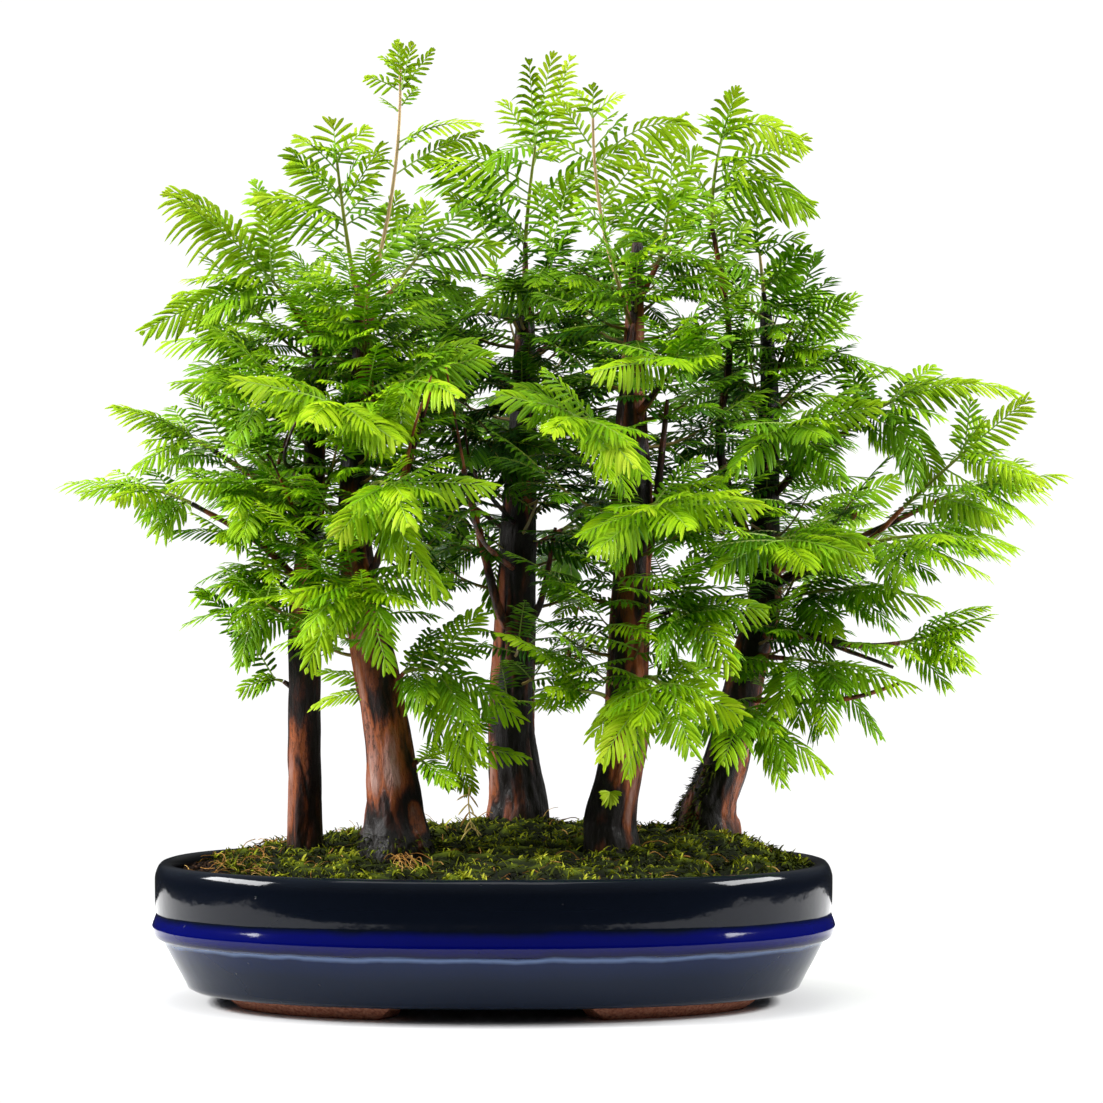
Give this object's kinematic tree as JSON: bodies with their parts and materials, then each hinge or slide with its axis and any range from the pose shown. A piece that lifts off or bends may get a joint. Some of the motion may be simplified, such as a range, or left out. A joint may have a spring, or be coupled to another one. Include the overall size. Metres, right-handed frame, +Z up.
{
  "type": "dawn redwood forest bonsai",
  "caption": "Forest-style bonsai of young dawn redwoods: straight tapering trunks with feathery flat-needled sprays, standing in moss in a shallow oval glazed pot.",
  "frame": {"origin": "on the surface that the pot stands on, under the middle of the whole plant", "axes": "+X along the pot's length to the right of the pictured front, +Y to the back, +Z up"},
  "size_m": [0.503, 0.2988, 0.4769],
  "materials": {
    "glaze": "glossy near-black navy glaze with a cobalt bead; bare terracotta feet",
    "screen_plastic": "moulded black plastic drain mesh",
    "soil": "dark damp crumbly potting soil",
    "moss": "dense yellow-green cushion moss with brown strands",
    "bark": "fibrous red-brown bark with dark vertical fissures",
    "needles": "soft bright green flat needles on green and straw-coloured shoots"
  },
  "bodies": {
    "root": {"drain_screen_left": "screen_plastic", "drain_screen_right": "screen_plastic", "moss": "moss", "pot": "glaze", "soil": "soil", "spray_01_trunk_1": "needles", "spray_02_trunk_1": "needles", "spray_03_trunk_1": "needles", "spray_04_trunk_1": "needles", "spray_05_trunk_1": "needles", "spray_06_trunk_1": "needles", "spray_07_trunk_1": "needles", "spray_08_trunk_1": "needles", "spray_09_trunk_1": "needles", "spray_10_trunk_1": "needles", "spray_11_trunk_2": "needles", "spray_12_trunk_2": "needles", "spray_13_trunk_2": "needles", "spray_14_trunk_2": "needles", "spray_15_trunk_2": "needles", "spray_16_trunk_2": "needles", "spray_17_trunk_2": "needles", "spray_18_trunk_2": "needles", "spray_19_trunk_2": "needles", "spray_20_trunk_3": "needles", "spray_21_trunk_3": "needles", "spray_22_trunk_3": "needles", "spray_23_trunk_3": "needles", "spray_24_trunk_3": "needles", "spray_25_trunk_3": "needles", "spray_26_trunk_3": "needles", "spray_27_trunk_3": "needles", "spray_28_trunk_4": "needles", "spray_29_trunk_4": "needles", "spray_30_trunk_4": "needles", "spray_31_trunk_4": "needles", "spray_32_trunk_4": "needles", "spray_33_trunk_4": "needles", "spray_34_trunk_4": "needles", "spray_35_trunk_4": "needles", "spray_36_trunk_5": "needles", "spray_37_trunk_5": "needles", "spray_38_trunk_5": "needles", "spray_39_trunk_5": "needles", "spray_40_trunk_5": "needles", "spray_41_trunk_5": "needles", "spray_42_trunk_5": "needles", "spray_43_trunk_5": "needles", "spray_44_trunk_5": "needles", "spray_45_trunk_5": "needles", "spray_46_trunk_5": "needles", "spray_47_trunk_5": "needles", "spray_48_trunk_5": "needles", "spray_49_trunk_5": "needles", "spray_50_trunk_5": "needles", "trunk_1": "bark", "trunk_2": "bark", "trunk_3": "bark", "trunk_4": "bark", "trunk_5": "bark"}
  },
  "joints": []
}
